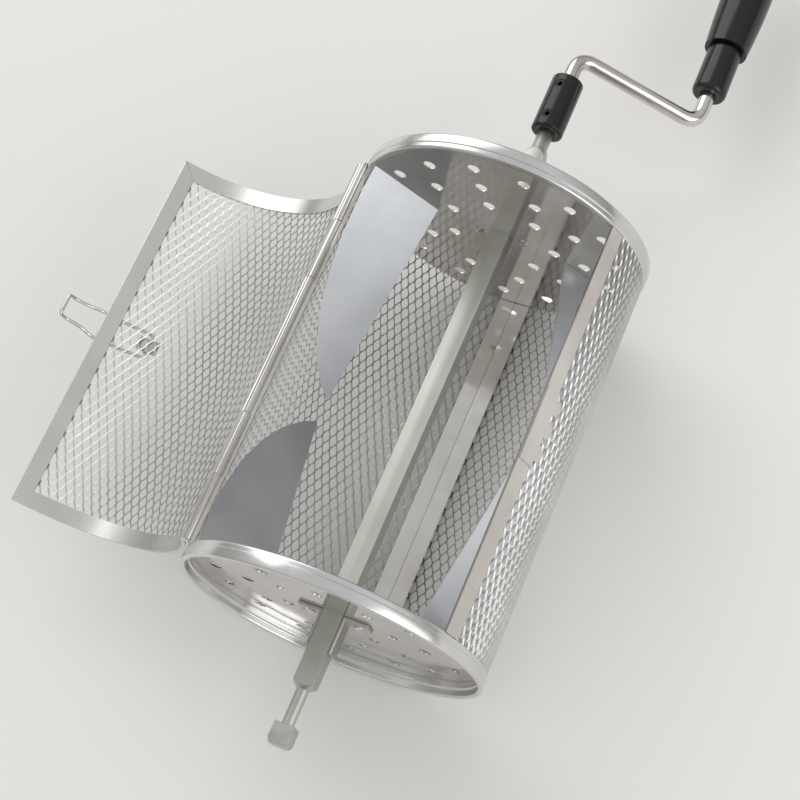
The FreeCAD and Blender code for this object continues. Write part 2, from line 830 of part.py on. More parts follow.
door_nodes = {
    "door_mesh": mesh_panel(door_wall, door_front + strip_width, door_rear - strip_width,
                            groove_depth),
    "door_hinge_strip": door_hinge_strip(),
    "door_latch_strip": door_latch_strip(),
    "door_front_strip": door_end_strip(door_front, 1),
    "door_rear_strip": door_end_strip(door_rear, -1),
    "latch_anchor": latch_anchor(),
    "latch_wire": latch_wire(),
}

os.makedirs("parts", exist_ok=True)
for name, shape in drum_nodes.items():
    shape.exportStep("parts/" + name + ".step")
for name, shape in door_nodes.items():
    opened(shape).exportStep("parts/" + name + ".step")
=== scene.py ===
import json
import math
import bmesh
import bpy
from mathutils import Matrix, Vector

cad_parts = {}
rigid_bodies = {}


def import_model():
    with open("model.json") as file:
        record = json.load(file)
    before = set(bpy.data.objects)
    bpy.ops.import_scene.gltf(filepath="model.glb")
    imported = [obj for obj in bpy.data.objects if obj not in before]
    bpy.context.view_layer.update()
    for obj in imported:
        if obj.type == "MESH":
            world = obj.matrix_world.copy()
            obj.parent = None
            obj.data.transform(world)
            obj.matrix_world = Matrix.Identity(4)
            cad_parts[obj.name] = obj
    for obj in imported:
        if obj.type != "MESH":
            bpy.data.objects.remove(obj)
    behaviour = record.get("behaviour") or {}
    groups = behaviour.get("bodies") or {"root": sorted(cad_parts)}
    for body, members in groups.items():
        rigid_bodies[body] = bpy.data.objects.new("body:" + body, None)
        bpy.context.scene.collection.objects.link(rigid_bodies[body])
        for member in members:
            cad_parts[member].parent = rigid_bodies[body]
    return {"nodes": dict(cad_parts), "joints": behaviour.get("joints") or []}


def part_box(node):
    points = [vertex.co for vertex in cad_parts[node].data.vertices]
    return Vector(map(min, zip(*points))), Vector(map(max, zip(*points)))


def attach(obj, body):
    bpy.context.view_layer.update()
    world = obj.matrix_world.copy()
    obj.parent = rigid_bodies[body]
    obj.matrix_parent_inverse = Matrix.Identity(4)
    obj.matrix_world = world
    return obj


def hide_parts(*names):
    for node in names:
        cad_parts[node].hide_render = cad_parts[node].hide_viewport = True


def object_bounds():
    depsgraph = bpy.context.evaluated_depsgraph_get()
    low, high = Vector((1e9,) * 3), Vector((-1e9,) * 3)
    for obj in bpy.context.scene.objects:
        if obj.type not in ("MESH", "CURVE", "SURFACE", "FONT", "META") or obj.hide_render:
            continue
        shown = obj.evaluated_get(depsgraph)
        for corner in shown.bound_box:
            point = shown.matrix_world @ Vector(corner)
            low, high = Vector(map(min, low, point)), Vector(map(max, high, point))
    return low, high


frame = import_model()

# Camera and studio
# The camera stands where the photograph was taken from: in front of the drum, to its right and
# well above it. The floor is a plain pale sheet, and two soft lamps and the world light it.
cad_box = [list(corner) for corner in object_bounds()]
scene = bpy.context.scene
scene.view_settings.view_transform = "Standard"
lens = 76.97
eye = Vector((0.18087, -0.08886, 0.59643))
right = Vector((0.91035, 0.38360, -0.15526)).normalized()
ahead = Vector((-0.28974, 0.32294, -0.90098)).normalized()
right = (right - ahead * right.dot(ahead)).normalized()
up = right.cross(ahead)
camera_data = bpy.data.cameras.new("camera")
camera_data.lens = lens
camera_data.clip_start = 0.01
camera = bpy.data.objects.new("camera", camera_data)
camera.matrix_world = Matrix((
    (right.x, up.x, -ahead.x, eye.x),
    (right.y, up.y, -ahead.y, eye.y),
    (right.z, up.z, -ahead.z, eye.z),
    (0, 0, 0, 1),
))
scene.collection.objects.link(camera)
scene.camera = camera


def srgb(code):
    """Linear colour of an sRGB hex value."""
    parts = [int(code[i:i + 2], 16) / 255.0 for i in (1, 3, 5)]
    line = [p / 12.92 if p <= 0.04045 else ((p + 0.055) / 1.055) ** 2.4 for p in parts]
    return (line[0], line[1], line[2], 1.0)


def add_node(tree, kind, links=(), **settings):
    """A node with its settings, joined to the sockets that feed it."""
    node = tree.nodes.new(kind)
    for name, value in settings.items():
        if hasattr(node, name):
            setattr(node, name, value)
        else:
            node.inputs[name.replace("_", " ")].default_value = value
    for source, target in links:
        tree.links.new(source, node.inputs[target])
    return node


floor_colour = "#F7F5F2"
floor_roughness = 0.7
floor_reach = 4.0
floor_gap = 0.0005
studio_strength = 0.72
floor_material = bpy.data.materials.new("pale floor")
floor_material.use_nodes = True
floor_shader = floor_material.node_tree.nodes["Principled BSDF"]
floor_shader.inputs["Base Color"].default_value = srgb(floor_colour)
floor_shader.inputs["Roughness"].default_value = floor_roughness
floor_mesh = bpy.data.meshes.new("floor")
floor_height = cad_box[0][2] - floor_gap
floor_corners = [(x * floor_reach, y * floor_reach, floor_height)
                 for x, y in ((-1, -1), (1, -1), (1, 1), (-1, 1))]
floor_mesh.from_pydata(floor_corners, [], [(0, 1, 2, 3)])
floor_mesh.materials.append(floor_material)
floor = bpy.data.objects.new("floor", floor_mesh)
scene.collection.objects.link(floor)

# The studio's walls are darker than its ceiling, so that polished metal has a soft edge to show.
world = bpy.data.worlds.new("studio")
world.use_nodes = True
studio = world.node_tree
way = add_node(studio, "ShaderNodeTexCoord").outputs["Object"]
rise = add_node(studio, "ShaderNodeSeparateXYZ", [(way, "Vector")])
shade = add_node(studio, "ShaderNodeValToRGB", [(rise.outputs["Z"], "Fac")])
shade.color_ramp.elements[0].position = 0.05
shade.color_ramp.elements[0].color = srgb("#B2AFAA")
shade.color_ramp.elements[1].position = 0.75
shade.color_ramp.elements[1].color = srgb("#F3F4F5")
studio.links.new(shade.outputs["Color"], studio.nodes["Background"].inputs["Color"])
studio.nodes["Background"].inputs["Strength"].default_value = studio_strength
scene.world = world
for name, place, size, power in (
        ("key lamp", (-1.1, 1.2, 1.1), 1.5, 11.0),
        ("fill lamp", (1.3, -0.2, 0.7), 1.2, 7.0)):
    lamp_data = bpy.data.lights.new(name, "AREA")
    lamp_data.size = size
    lamp_data.energy = power
    lamp = bpy.data.objects.new(name, lamp_data)
    lamp.location = place
    aim = Vector((0.0, 0.15, 0.0)) - lamp.location
    lamp.rotation_euler = aim.to_track_quat("-Z", "Y").to_euler()
    scene.collection.objects.link(lamp)


# End caps and hoops
# Each end is a perforated disc of mirror polished stainless steel, pressed to a dish. Its rim is
# rolled over a thin hoop, and the wire mesh ends inside the roll. Sizes are in mm from here on.
mm = 0.001
cap_hole_rings = ((22.5, 7), (35.5, 10), (48.5, 15))
cap_hole_radius = 2.5
cap_hole_clock = -97.0
cap_stock = 0.5
cap_recess = 6.0
spit_hole = 8.1
dish_radius = 57.8
rim_bend = 0.9
rim_sides = 180
rim_outline = (
    (57.6, 6.5), (57.6, 3.4), (58.3, 3.0), (58.3, 0.0), (60.4, 0.0), (60.4, 4.0),
    (60.05, 4.1), (60.05, 6.5),
)


def rounded(points, bend, steps):
    """The points with each corner taken round in a few short steps."""
    points = [Vector(point) for point in points]
    path = [points[0]]
    for last, corner, following in zip(points, points[1:], points[2:]):
        reach = min(bend, (corner - last).length / 2.1, (following - corner).length / 2.1)
        before = corner + (last - corner).normalized() * reach
        after = corner + (following - corner).normalized() * reach
        for step in range(steps + 1):
            part = step / steps
            path.append(before.lerp(corner, part).lerp(corner.lerp(after, part), part))
    return path + [points[-1]]


def turned(outline, sides, centre=(0.0, 0.0)):
    """Mesh turned round a line along the drum from a closed outline of radii and places in mm."""
    shape = bmesh.new()
    rings = []
    for radius, y in outline:
        turns = [2.0 * math.pi * number / sides for number in range(sides)]
        rings.append([shape.verts.new((centre[0] + radius * mm * math.sin(turn), y * mm,
                                       centre[1] + radius * mm * math.cos(turn)))
                      for turn in turns])
    for near, far in zip(rings, rings[1:] + rings[:1]):
        for number in range(sides):
            shape.faces.new((near[number - 1], near[number], far[number], far[number - 1]))
    bmesh.ops.remove_doubles(shape, verts=shape.verts, dist=1e-7)
    bmesh.ops.recalc_face_normals(shape, faces=shape.faces)
    return shape


def piece(name, shape, body, material, replaced=(), crease=35.0):
    """Finished object from a mesh in place: shaded, given its material and riding on its body."""
    if isinstance(shape, bmesh.types.BMesh):
        mesh = bpy.data.meshes.new(name)
        shape.to_mesh(mesh)
        shape.free()
    else:
        mesh = shape
    mesh.materials.clear()
    mesh.materials.append(material)
    mesh.polygons.foreach_set("use_smooth", [True] * len(mesh.polygons))
    mesh.set_sharp_from_angle(angle=math.radians(crease))
    made = bpy.data.objects.new(name, mesh)
    scene.collection.objects.link(made)
    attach(made, body)
    if replaced:
        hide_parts(*replaced)
    return made


def steel(name, light, dark, roughness, spread, grain, depth):
    """Stainless steel in two close tones, with a fine grain of the given size in mm."""
    material = bpy.data.materials.new(name)
    material.use_nodes = True
    tree = material.node_tree
    shader = tree.nodes["Principled BSDF"]
    shader.inputs["Metallic"].default_value = 1.0
    spot = add_node(tree, "ShaderNodeTexCoord").outputs["Object"]
    patches = add_node(tree, "ShaderNodeTexNoise", [(spot, "Vector")], Scale=1.0 / (35.0 * mm),
                       Detail=3.0)
    tones = add_node(tree, "ShaderNodeValToRGB", [(patches.outputs["Fac"], "Fac")])
    tones.color_ramp.elements[0].position = 0.35
    tones.color_ramp.elements[0].color = srgb(dark)
    tones.color_ramp.elements[1].position = 0.65
    tones.color_ramp.elements[1].color = srgb(light)
    stretch = add_node(tree, "ShaderNodeMapping", [(spot, "Vector")],
                       Scale=[1.0 / (size * mm) for size in grain])
    lines = add_node(tree, "ShaderNodeTexNoise", [(stretch.outputs["Vector"], "Vector")],
                     Scale=1.0, Detail=2.0)
    gloss = add_node(tree, "ShaderNodeMapRange", [(lines.outputs["Fac"], "Value")],
                     From_Min=0.3, From_Max=0.7, To_Min=roughness - spread, To_Max=roughness + spread)
    bump = add_node(tree, "ShaderNodeBump", [(lines.outputs["Fac"], "Height")],
                    Strength=depth, Distance=0.05 * mm)
    tree.links.new(tones.outputs["Color"], shader.inputs["Base Color"])
    tree.links.new(gloss.outputs["Result"], shader.inputs["Roughness"])
    tree.links.new(bump.outputs["Normal"], shader.inputs["Normal"])
    return material


def new_tree(name, **sizes):
    """Geometry Nodes tree with a named input for each size."""
    tree = bpy.data.node_groups.new(name, "GeometryNodeTree")
    tree.interface.new_socket("Geometry", in_out="OUTPUT", socket_type="NodeSocketGeometry")
    for label, value in sizes.items():
        kind = "NodeSocketInt" if isinstance(value, int) else "NodeSocketFloat"
        socket = tree.interface.new_socket(label, in_out="INPUT", socket_type=kind)
        socket.default_value = value
    sockets = add_node(tree, "NodeGroupInput").outputs
    return tree, sockets


def finish_tree(tree, geometry, material):
    """Ends a tree in plain geometry with its material."""
    real = add_node(tree, "GeometryNodeRealizeInstances", [(geometry, "Geometry")])
    coated = add_node(tree, "GeometryNodeSetMaterial", [(real.outputs["Geometry"], "Geometry")],
                      Material=material)
    add_node(tree, "NodeGroupOutput", [(coated.outputs["Geometry"], "Geometry")])


def grown(name, tree, **sizes):
    """Plain mesh that a tree makes with these sizes."""
    holder = bpy.data.objects.new(name, bpy.data.meshes.new(name))
    scene.collection.objects.link(holder)
    modifier = holder.modifiers.new(name, "NODES")
    modifier.node_group = tree
    for socket in tree.interface.items_tree:
        if socket.in_out == "INPUT" and socket.name in sizes:
            modifier[socket.identifier] = sizes[socket.name]
    made = holder.evaluated_get(bpy.context.evaluated_depsgraph_get())
    mesh = bpy.data.meshes.new_from_object(made)
    bpy.data.objects.remove(holder)
    return mesh


# Mirror polish: the caps answer with sharp reflections, a little clouded by buffing.
polished_steel = steel("polished stainless caps", "#DAD8D4", "#C6C2BC", 0.10, 0.04,
                       (6.0, 6.0, 6.0), 0.15)

# Satin rims: duller than the discs inside them, so they answer softly and pale.
rim_steel = steel("satin rolled rims", "#E2E2E1", "#D3D3D1", 0.23, 0.04, (6.0, 6.0, 6.0), 0.05)

cap_tree, cap_size = new_tree("perforated disc", radius=dish_radius * mm, thickness=cap_stock * mm,
                              hole=cap_hole_radius * mm, square=spit_hole * mm, place=0.0)
outlines = [add_node(cap_tree, "GeometryNodeCurvePrimitiveCircle",
                     [(cap_size["radius"], "Radius")], Resolution=128).outputs["Curve"]]
square_hole = add_node(cap_tree, "GeometryNodeCurvePrimitiveQuadrilateral",
                       [(cap_size["square"], "Width"), (cap_size["square"], "Height")])
outlines.append(square_hole.outputs["Curve"])
round_hole = add_node(cap_tree, "GeometryNodeCurvePrimitiveCircle",
                      [(cap_size["hole"], "Radius")], Resolution=24)
for radius, count in cap_hole_rings:
    spots = add_node(cap_tree, "GeometryNodeMeshCircle", Vertices=count, Radius=radius * mm)
    turn = add_node(cap_tree, "GeometryNodeTransform", [(spots.outputs["Mesh"], "Geometry")],
                    Rotation=(0.0, 0.0, math.radians(cap_hole_clock)))
    holes = add_node(cap_tree, "GeometryNodeInstanceOnPoints",
                     [(turn.outputs["Geometry"], "Points"), (round_hole.outputs["Curve"], "Instance")])
    outlines.append(holes.outputs["Instances"])
joined = add_node(cap_tree, "GeometryNodeJoinGeometry")
for outline in outlines:
    cap_tree.links.new(outline, joined.inputs["Geometry"])
real_outlines = add_node(cap_tree, "GeometryNodeRealizeInstances",
                         [(joined.outputs["Geometry"], "Geometry")])
sheet = add_node(cap_tree, "GeometryNodeFillCurve", [(real_outlines.outputs["Geometry"], "Curve")])
thick = add_node(cap_tree, "GeometryNodeExtrudeMesh",
                 [(sheet.outputs["Mesh"], "Mesh"), (cap_size["thickness"], "Offset Scale")],
                 Individual=False)
back = add_node(cap_tree, "GeometryNodeFlipFaces", [(sheet.outputs["Mesh"], "Mesh")])
both = add_node(cap_tree, "GeometryNodeJoinGeometry",
                [(thick.outputs["Mesh"], "Geometry"), (back.outputs["Mesh"], "Geometry")])
closed = add_node(cap_tree, "GeometryNodeMergeByDistance", [(both.outputs["Geometry"], "Geometry")],
                  Distance=1e-6)
spot = add_node(cap_tree, "ShaderNodeCombineXYZ", [(cap_size["place"], "Y")])
stood = add_node(cap_tree, "GeometryNodeTransform",
                 [(closed.outputs["Geometry"], "Geometry"), (spot.outputs["Vector"], "Translation")],
                 Rotation=(math.radians(-90.0), 0.0, 0.0))
finish_tree(cap_tree, stood.outputs["Geometry"], polished_steel)
for end, inward in (("front", 1.0), ("rear", -1.0)):
    low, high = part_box(end + "_cap")
    rim_place = (low.y if inward > 0.0 else high.y) / mm
    disc_face = rim_place + inward * cap_recess + (0.0 if inward > 0.0 else -cap_stock)
    disc = grown(end + "_disc", cap_tree, place=disc_face * mm)
    piece(end + "_disc", disc, "drum", polished_steel, (end + "_cap",), 20.0)
    closed_outline = rim_outline + rim_outline[:2]
    outline = [(radius, rim_place + inward * depth)
               for radius, depth in rounded(closed_outline, rim_bend, 4)[1:-1]]
    piece(end + "_rolled_rim", turned(outline, rim_sides), "drum", rim_steel,
          (), 40.0)


# Wire mesh walls and door
# The walls are raised expanded mesh of bright stainless steel: slit sheet pulled open, so that all
# the strands of a wall lean one way round the drum. The edges are caught in folded strips.
opening_along = 7.6
opening_round = 3.9
mesh_radius = 59.3
strand_half = 0.23
strand_stock = 0.32
bond_half = 0.46
bond_end = 0.45
bond_crotch = 0.95
wall_edges = {
    "hinge_side_mesh": (-180.0, -63.74),
    "latch_side_mesh": (55.01, 180.0),
    "door_mesh": (-61.26, 53.0),
}
wall_lean = {"hinge_side_mesh": 0.5, "latch_side_mesh": -0.9, "door_mesh": -0.5}
strip_tuck = 3.5
edge_tuck = strip_tuck / mesh_radius
end_tuck = 1.2
pin_place = [joint for joint in frame["joints"] if joint["name"] == "door_swing"][0]["pos_m"]
door_open_angle = 200.0
swing = (Matrix.Translation(pin_place)
         @ Matrix.Rotation(math.radians(-door_open_angle), 4, "Y")
         @ Matrix.Translation([-value for value in pin_place]))

# Bright open mesh: each strand catches a soft glint, and its shaded side goes dark.
mesh_steel = steel("bright expanded mesh", "#D2D2D0", "#C0C0BD", 0.34, 0.06, (0.3, 3.0, 0.3), 0.2)


def strand_cross(width, length, lean):
    """One bond of the mesh with its four leaning half strands, for one opening's size."""
    end = Vector((width / 4.0, length / 4.0))
    run = (end - Vector((bond_half / 2.0, bond_end))).normalized()
    out = Vector((run.y, -run.x)) * strand_half
    quarter = ((Vector((bond_half, bond_end)), 0.0), (end + out, end.x), (end - out, end.x),
               (Vector((0.0, bond_crotch)), 0.0))
    corners = []
    for side in (1.0, -1.0):
        for across, along in ((1.0, 1.0), (-1.0, 1.0), (-1.0, -1.0), (1.0, -1.0)):
            for point, middle in quarter:
                lift = side * strand_stock / 2.0 - lean * across * (point.x - middle)
                corners.append(Vector((across * point.x, along * point.y, lift)) * mm)
    back = len(corners) // 2
    faces = [(12, 0, 3, 4, 8, 11), (back + 11, back + 8, back + 4, back + 3, back, back + 12),
             (back + 12, back, 0, 12), (back + 4, back + 8, 8, 4)]
    for quarter in range(4):
        order = [quarter * 4 + number for number in range(4)]
        if quarter % 2:
            order.reverse()
        faces.append(order)
        faces.append([back + number for number in reversed(order)])
        for first, second in (order[:2], order[2:]):
            faces.append((back + first, back + second, second, first))
    mesh = bpy.data.meshes.new("strand cross")
    mesh.from_pydata(corners, [], faces)
    return mesh


def opened(mesh):
    """The same mesh swung about the hinge pin, as the door hangs open."""
    mesh.transform(swing)
    return mesh


mesh_tree, wall_size = new_tree("wire mesh wall", middle_angle=0.0, middle_place=0.0, span=0.1,
                                length=0.1, columns=10, rows=10, radius=mesh_radius * mm)
cross_info = add_node(mesh_tree, "GeometryNodeObjectInfo", transform_space="ORIGINAL")
spread_round = add_node(mesh_tree, "ShaderNodeMath", [(wall_size["span"], 0)], operation="MULTIPLY")
mesh_tree.links.new(wall_size["radius"], spread_round.inputs[1])
lattices = add_node(mesh_tree, "GeometryNodeJoinGeometry")
for fewer in (0, 1):
    counts = []
    spans = []
    for label, full in (("columns", spread_round.outputs["Value"]), ("rows", wall_size["length"])):
        count = add_node(mesh_tree, "ShaderNodeMath", [(wall_size[label], 0)], operation="SUBTRACT")
        count.inputs[1].default_value = fewer - 1.0
        left = add_node(mesh_tree, "ShaderNodeMath", [(wall_size[label], 0)], operation="SUBTRACT")
        left.inputs[1].default_value = fewer
        share = add_node(mesh_tree, "ShaderNodeMath", [(left.outputs["Value"], 0),
                                                       (wall_size[label], 1)], operation="DIVIDE")
        part = add_node(mesh_tree, "ShaderNodeMath", [(share.outputs["Value"], 0), (full, 1)],
                        operation="MULTIPLY")
        counts.append(count.outputs["Value"])
        spans.append(part.outputs["Value"])
    grid = add_node(mesh_tree, "GeometryNodeMeshGrid",
                    [(counts[0], "Vertices X"), (counts[1], "Vertices Y"),
                     (spans[0], "Size X"), (spans[1], "Size Y")])
    mesh_tree.links.new(grid.outputs["Mesh"], lattices.inputs["Geometry"])
bonds = add_node(mesh_tree, "GeometryNodeInstanceOnPoints",
                 [(lattices.outputs["Geometry"], "Points"),
                  (cross_info.outputs["Geometry"], "Instance")])
flat_mesh = add_node(mesh_tree, "GeometryNodeRealizeInstances",
                     [(bonds.outputs["Instances"], "Geometry")])
sewn = add_node(mesh_tree, "GeometryNodeMergeByDistance",
                [(flat_mesh.outputs["Geometry"], "Geometry")], Distance=1e-5)
flat_spot = add_node(mesh_tree, "GeometryNodeInputPosition").outputs["Position"]
flat_place = add_node(mesh_tree, "ShaderNodeSeparateXYZ", [(flat_spot, "Vector")])
arc = add_node(mesh_tree, "ShaderNodeMath", [(flat_place.outputs["X"], 0), (wall_size["radius"], 1)],
               operation="DIVIDE")
angle = add_node(mesh_tree, "ShaderNodeMath", [(arc.outputs["Value"], 0),
                                               (wall_size["middle_angle"], 1)], operation="ADD")
height = add_node(mesh_tree, "ShaderNodeMath", [(flat_place.outputs["Z"], 0),
                                                (wall_size["radius"], 1)], operation="ADD")
along = add_node(mesh_tree, "ShaderNodeMath", [(flat_place.outputs["Y"], 0),
                                               (wall_size["middle_place"], 1)], operation="ADD")
parts = []
for kind in ("SINE", "COSINE"):
    wave = add_node(mesh_tree, "ShaderNodeMath", [(angle.outputs["Value"], 0)], operation=kind)
    parts.append(add_node(mesh_tree, "ShaderNodeMath", [(wave.outputs["Value"], 0),
                                                        (height.outputs["Value"], 1)],
                          operation="MULTIPLY").outputs["Value"])
rolled = add_node(mesh_tree, "ShaderNodeCombineXYZ", [(parts[0], "X"), (along.outputs["Value"], "Y"),
                                                      (parts[1], "Z")])
wrapped = add_node(mesh_tree, "GeometryNodeSetPosition", [(sewn.outputs["Geometry"], "Geometry"),
                                                          (rolled.outputs["Vector"], "Position")])
finish_tree(mesh_tree, wrapped.outputs["Geometry"], mesh_steel)

rail_low, rail_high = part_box("latch_rail")
wall_front, wall_rear = rail_low.y / mm, rail_high.y / mm
door_low, door_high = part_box("door_latch_strip")
door_front, door_rear = door_low.y / mm, door_high.y / mm
for node, (start, stop) in wall_edges.items():
    front, rear = (door_front + strip_tuck, door_rear - strip_tuck) if node == "door_mesh" else (
        wall_front - end_tuck, wall_rear + end_tuck)
    span = math.radians(stop - start) - 2.0 * edge_tuck
    columns = round(span * mesh_radius / opening_round)
    rows = round((rear - front) / opening_along)
    cross = bpy.data.objects.new("strand cross", strand_cross(span * mesh_radius / columns,
                                                              (rear - front) / rows,
                                                              wall_lean[node]))
    cross_info.inputs["Object"].default_value = cross
    wall = grown(node, mesh_tree, middle_angle=math.radians((start + stop) / 2.0), span=span,
                 middle_place=(front + rear) / 2.0 * mm, length=(rear - front) * mm,
                 columns=columns, rows=rows)
    bpy.data.objects.remove(cross)
    body = "drum"
    if node == "door_mesh":
        body = "door"
        opened(wall)
    piece("fine_" + node, wall, body, mesh_steel, (node,), 30.0)


# Folded edge strips
# Flat stainless strip folded over each edge of the mesh and flattened on it. The four strips of the
# door meet in mitres, and two strips back to back make the seam under the drum.
wall_radius = 60.0
strip_inner = 58.6
strip_width = 7.0
edge_bevel = 0.18 * mm

# Satin strip: a fine grain along the fold gives long soft glints and crisp light edges. The drum's
# own strips are polished with the caps and mirror what is round them.
strip_steel = steel("satin folded strip", "#DDDED9", "#D2D3CE", 0.27, 0.03, (0.5, 14.0, 0.5), 0.05)


def softened(node, bevel=edge_bevel):
    """Copy of a solid's mesh with its sharp edges broken."""
    shape = bmesh.new()
    shape.from_mesh(frame["nodes"][node].data)
    bmesh.ops.remove_doubles(shape, verts=shape.verts, dist=1e-6)
    bmesh.ops.dissolve_limit(shape, angle_limit=math.radians(1.0), verts=shape.verts,
                             edges=shape.edges)
    sharp = [edge for edge in shape.edges
             if edge.is_manifold and edge.calc_face_angle() > math.radians(30.0)]
    bmesh.ops.bevel(shape, geom=sharp, offset=bevel, segments=1, affect="EDGES",
                    clamp_overlap=True)
    return shape


def curved_strip(edge, into, steps):
    """Strip round one end of the door, with a mitre at each corner."""
    start, stop = (math.radians(angle) for angle in wall_edges["door_mesh"])
    shape = bmesh.new()
    rows = []
    for number in range(steps + 1):
        turn = start + (stop - start) * number / steps
        depth = min(strip_width, (turn - start) * wall_radius, (stop - turn) * wall_radius)
        near, far = edge, edge + into * max(depth, 0.05)
        row = [(strip_inner, near), (wall_radius, near), (wall_radius, far), (strip_inner, far)]
        rows.append([shape.verts.new((radius * mm * math.sin(turn), y * mm,
                                      radius * mm * math.cos(turn))) for radius, y in row])
    for near, far in zip(rows, rows[1:]):
        for number in range(len(near)):
            shape.faces.new((near[number - 1], near[number], far[number], far[number - 1]))
    shape.faces.new(rows[0])
    shape.faces.new(list(reversed(rows[-1])))
    bmesh.ops.remove_doubles(shape, verts=shape.verts, dist=1e-7)
    bmesh.ops.recalc_face_normals(shape, faces=shape.faces)
    mesh = bpy.data.meshes.new("curved strip")
    shape.to_mesh(mesh)
    shape.free()
    return mesh


for node in ("latch_rail", "seam_strip_hinge_side", "seam_strip_latch_side"):
    piece("folded_" + node, softened(node), "drum", polished_steel, (node,), 25.0)
piece("folded_door_latch_strip", softened("door_latch_strip"), "door", strip_steel,
      ("door_latch_strip",), 25.0)
for end, edge, into in (("front", door_front, 1.0), ("rear", door_rear, -1.0)):
    piece("folded_door_%s_strip" % end, opened(curved_strip(edge, into, 72)), "door",
          strip_steel, ("door_%s_strip" % end,), 25.0)


# Hinge
# The barrels are rolled from the polished strips themselves: two on the drum and three on the door,
# on one wire pin with peened ends.
for node, body in (("hinge_rail", "drum"), ("door_hinge_strip", "door")):
    piece("rolled_" + node, softened(node, 0.22 * mm), body, polished_steel, (node,),
          32.0)
piece("peened_hinge_pin", softened("hinge_pin", 0.15 * mm), "drum", strip_steel,
      ("hinge_pin",), 32.0)


# Catch plate and latch clip
# A stamped plate with three blunt lobes is spot welded on the drum's rail, and a small folded clip
# holds the root of the latch wire on the door's mesh.
piece("stamped_catch_plate", softened("catch_plate", 0.12 * mm), "drum", polished_steel,
      ("catch_plate",), 25.0)

# Dull clip: unpolished sheet steel, matt enough to show hardly at all behind the mesh.
clip_steel = steel("dull latch clip", "#B4B4B1", "#A6A6A3", 0.46, 0.03, (0.6, 4.0, 0.6), 0.05)
piece("folded_latch_clip", softened("latch_anchor", 0.05 * mm), "door", clip_steel,
      ("latch_anchor",), 32.0)


# Latch wire
# A closed loop of bright spring wire: it turns in the clip, runs out past the door's edge, and a
# kink in both legs snaps over the lobes of the catch.
wire_radius = 0.8
wire_points = (
    (-21.5, 0.0, 61.0), (-21.5, 5.4, 61.0), (-10.0, 5.7, 61.8), (1.5, 6.0, 62.6),
    (5.5, 5.2, 61.6), (8.0, 4.9, 61.7), (13.5, 4.7, 62.7), (16.9, 4.7, 61.3),
    (16.9, 0.0, 61.3),
)

# Bright drawn wire: smooth all round, so it shines evenly.
wire_steel = steel("bright spring wire", "#E2E2E1", "#CFCFCE", 0.20, 0.04, (2.0, 2.0, 2.0), 0.1)


def swept(path, radius, sides, loop=False):
    """Round bar along a path given in metres."""
    line = bpy.data.curves.new("bar", "CURVE")
    line.dimensions = "3D"
    line.bevel_depth = radius * mm
    line.bevel_resolution = sides // 4 - 1
    line.use_fill_caps = not loop
    spline = line.splines.new("POLY")
    spline.points.add(len(path) - 1)
    for point, place in zip(spline.points, path):
        point.co = (place.x, place.y, place.z, 1.0)
    spline.use_cyclic_u = loop
    holder = bpy.data.objects.new("bar", line)
    scene.collection.objects.link(holder)
    made = holder.evaluated_get(bpy.context.evaluated_depsgraph_get())
    mesh = bpy.data.meshes.new_from_object(made)
    bpy.data.objects.remove(holder)
    return mesh


door_middle = (door_front + door_rear) / 2.0
latch_edge = math.radians(wall_edges["door_mesh"][1])
leg = []
for reach, half_width, radius in wire_points:
    turn = latch_edge + reach / wall_radius
    leg.append(Vector((radius * math.sin(turn), half_width, radius * math.cos(turn))))
leg = rounded(leg, 1.8, 6)
mirror_leg = [Vector((point.x, -point.y, point.z)) for point in reversed(leg[1:-1])]
loop = [(point + Vector((0.0, door_middle, 0.0))) * mm for point in leg + mirror_leg]
piece("bent_latch_wire", opened(swept(loop, wire_radius, 16, True)), "latch",
      wire_steel, ("latch_wire",), 60.0)


# Stirring paddles
# Four plain sheet blades, sheared and tack welded to the ends of the drum, tilted to throw the
# beans to and fro along it. The mill's dull finish is left on.

# Mill finish sheet: pale and matt, with cloudy patches and hardly a highlight.
paddle_steel = steel("dull sheet paddles", "#DCDEE2", "#CED1D6", 0.50, 0.03, (0.8, 6.0, 0.8), 0.12)
for node in [name for name in frame["nodes"] if "_paddle_" in name]:
    piece("sheared_" + node, softened(node, 0.1 * mm), "drum", paddle_steel,
          (node,), 25.0)


# Spit
# One drawn square steel bar carries the whole drum. A neck and button are turned on its front end,
# and a round shank on its rear end goes into the coupling sleeve.

# Drawn bar: long die lines, duller than the caps.
bar_steel = steel("drawn square bar", "#C4C4BC", "#B9B9B1", 0.42, 0.03, (0.6, 40.0, 0.6), 0.06)
piece("turned_spit", softened("spit", 0.22 * mm), "drum", bar_steel, ("spit",), 28.0)


# Brackets and their fastenings
# A channel folded from steel sheet sits on the spit at each cap. Two rivets hold it to the cap, and
# a round headed screw clamps it on the bar.
rivet_head = (2.4, 1.15)
screw_head = (2.6, 2.0)
screw_seat = -5.25
rivet_inset = 2.5
bracket_stock = 1.2

# Plated screws and rivets: bright, smooth heads with one soft glint each.
fastener_steel = steel("plated fasteners", "#DDDEDE", "#C8C9CA", 0.16, 0.05, (1.5, 1.5, 1.5), 0.1)
for end in ("front", "rear"):
    piece("folded_%s_bracket" % end, softened(end + "_bracket", 0.2 * mm), "drum",
          bar_steel, (end + "_bracket",), 25.0)


def dome(radius, height, steps):
    """Outline of a round head that stands on its own middle, as radii and heights."""
    sphere = (radius * radius + height * height) / (2.0 * height)
    widest = math.asin(radius / sphere)
    return [(sphere * math.sin(widest * (1.0 - number / steps)),
             height - sphere + sphere * math.cos(widest * (1.0 - number / steps)))
            for number in range(steps + 1)]


